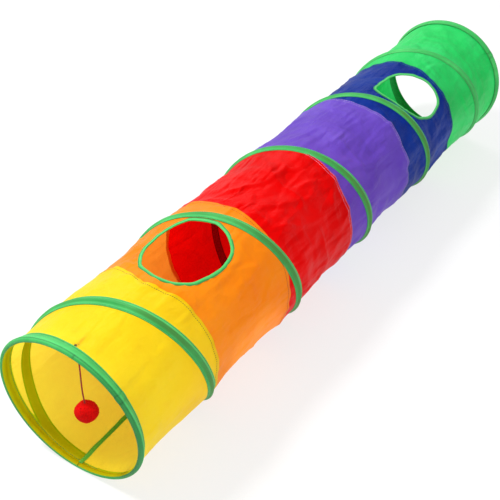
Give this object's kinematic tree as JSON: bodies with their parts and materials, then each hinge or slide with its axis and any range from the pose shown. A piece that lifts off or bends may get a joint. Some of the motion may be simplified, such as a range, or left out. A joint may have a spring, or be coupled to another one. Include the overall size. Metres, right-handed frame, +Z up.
{
  "type": "agility tunnel",
  "caption": "Collapsible cloth play tunnel for small pets, held open by a spring coil between two bound end hoops, with roof openings and a pompom hung inside one mouth.",
  "frame": {"origin": "on the floor, under the middle of the tunnel's length", "axes": "X runs along the tunnel from the front mouth (-X, where the pompom hangs) to the rear mouth (+X), Y runs across it, +Z is up"},
  "size_m": [1.21, 0.25, 0.249],
  "materials": {
    "spring_steel": "bright drawn spring wire",
    "ferrule": "crimped plated sleeve",
    "green_tape": "woven tape with a slight sheen",
    "green_thread": "sewing thread",
    "cloth_yellow": "thin translucent coated cloth",
    "cloth_orange": "thin translucent coated cloth",
    "cloth_red": "thin translucent coated cloth",
    "cloth_purple": "thin translucent coated cloth",
    "cloth_blue": "thin translucent coated cloth",
    "cloth_green": "thin translucent coated cloth",
    "seam_thread": "overlocked thread and folded allowance",
    "toy_cord": "dark twisted cord",
    "toy_pompom": "cut fluffy yarn"
  },
  "bodies": {
    "rear_end": {"rear_hoop_wire": "spring_steel", "rear_hoop_binding": "green_tape", "rear_hoop_ferrule": "ferrule", "rear_hoop_stitching": "green_thread", "panel_green": "cloth_green", "coil_spring": "spring_steel", "coil_binding": "green_tape", "coil_stitching": "green_thread", "floor_seam_tape": "green_tape"},
    "front_end": {"front_hoop_wire": "spring_steel", "front_hoop_binding": "green_tape", "front_hoop_ferrule": "ferrule", "front_hoop_stitching": "green_thread", "panel_yellow": "cloth_yellow", "toy_tack": "toy_cord"},
    "seam_1": {"seam_yellow_orange": "seam_thread", "panel_orange": "cloth_orange", "orange_opening_binding": "green_tape", "orange_opening_stitching": "green_thread"},
    "seam_2": {"seam_orange_red": "seam_thread", "panel_red": "cloth_red"},
    "seam_3": {"seam_red_purple": "seam_thread", "panel_purple": "cloth_purple"},
    "seam_4": {"seam_purple_blue": "seam_thread", "panel_blue": "cloth_blue", "blue_opening_binding": "green_tape", "blue_opening_stitching": "green_thread"},
    "seam_5": {"seam_blue_green": "seam_thread"},
    "toy_knot": {"toy_knot": "toy_cord"},
    "toy": {"toy_cord": "toy_cord", "toy_pompom": "toy_pompom"}
  },
  "joints": [
    {"name": "collapse", "type": "slide", "parent": "rear_end", "child": "front_end", "axis": [1, 0, 0], "range_m": [0, 1.13997], "stiffness_N_per_m": 6, "springref_m": -0.25, "deforming": ["panel_yellow", "coil_spring", "coil_binding", "coil_stitching", "floor_seam_tape"]},
    {"name": "seam_1_slide", "type": "slide", "parent": "rear_end", "child": "seam_1", "axis": [1, 0, 0], "range_m": [0, 0.98607], "deforming": ["panel_orange", "orange_opening_binding", "orange_opening_stitching"]},
    {"name": "seam_2_slide", "type": "slide", "parent": "rear_end", "child": "seam_2", "axis": [1, 0, 0], "range_m": [0, 0.79463], "deforming": ["panel_red"]},
    {"name": "seam_3_slide", "type": "slide", "parent": "rear_end", "child": "seam_3", "axis": [1, 0, 0], "range_m": [0, 0.60415], "deforming": ["panel_purple"]},
    {"name": "seam_4_slide", "type": "slide", "parent": "rear_end", "child": "seam_4", "axis": [1, 0, 0], "range_m": [0, 0.40117], "deforming": ["panel_blue", "blue_opening_binding", "blue_opening_stitching"]},
    {"name": "seam_5_slide", "type": "slide", "parent": "rear_end", "child": "seam_5", "axis": [1, 0, 0], "range_m": [0, 0.20781], "deforming": ["panel_green"]},
    {"name": "toy_swing_sideways", "type": "hinge", "parent": "front_end", "child": "toy_knot", "pos_m": [-0.595, -0.02181, 0.2362], "axis": [1, 0, 0], "range_deg": [-33, 40]},
    {"name": "toy_swing_lengthwise", "type": "hinge", "parent": "toy_knot", "child": "toy", "pos_m": [-0.595, -0.02181, 0.2362], "axis": [0, 1, 0], "range_deg": [-45, 45]}
  ],
  "couplings": [
    {"joint": "seam_1_slide", "follows": "collapse", "ratio": 0.86456},
    {"joint": "seam_2_slide", "follows": "collapse", "ratio": 0.69662},
    {"joint": "seam_3_slide", "follows": "collapse", "ratio": 0.52954},
    {"joint": "seam_4_slide", "follows": "collapse", "ratio": 0.35148},
    {"joint": "seam_5_slide", "follows": "collapse", "ratio": 0.18186}
  ]
}
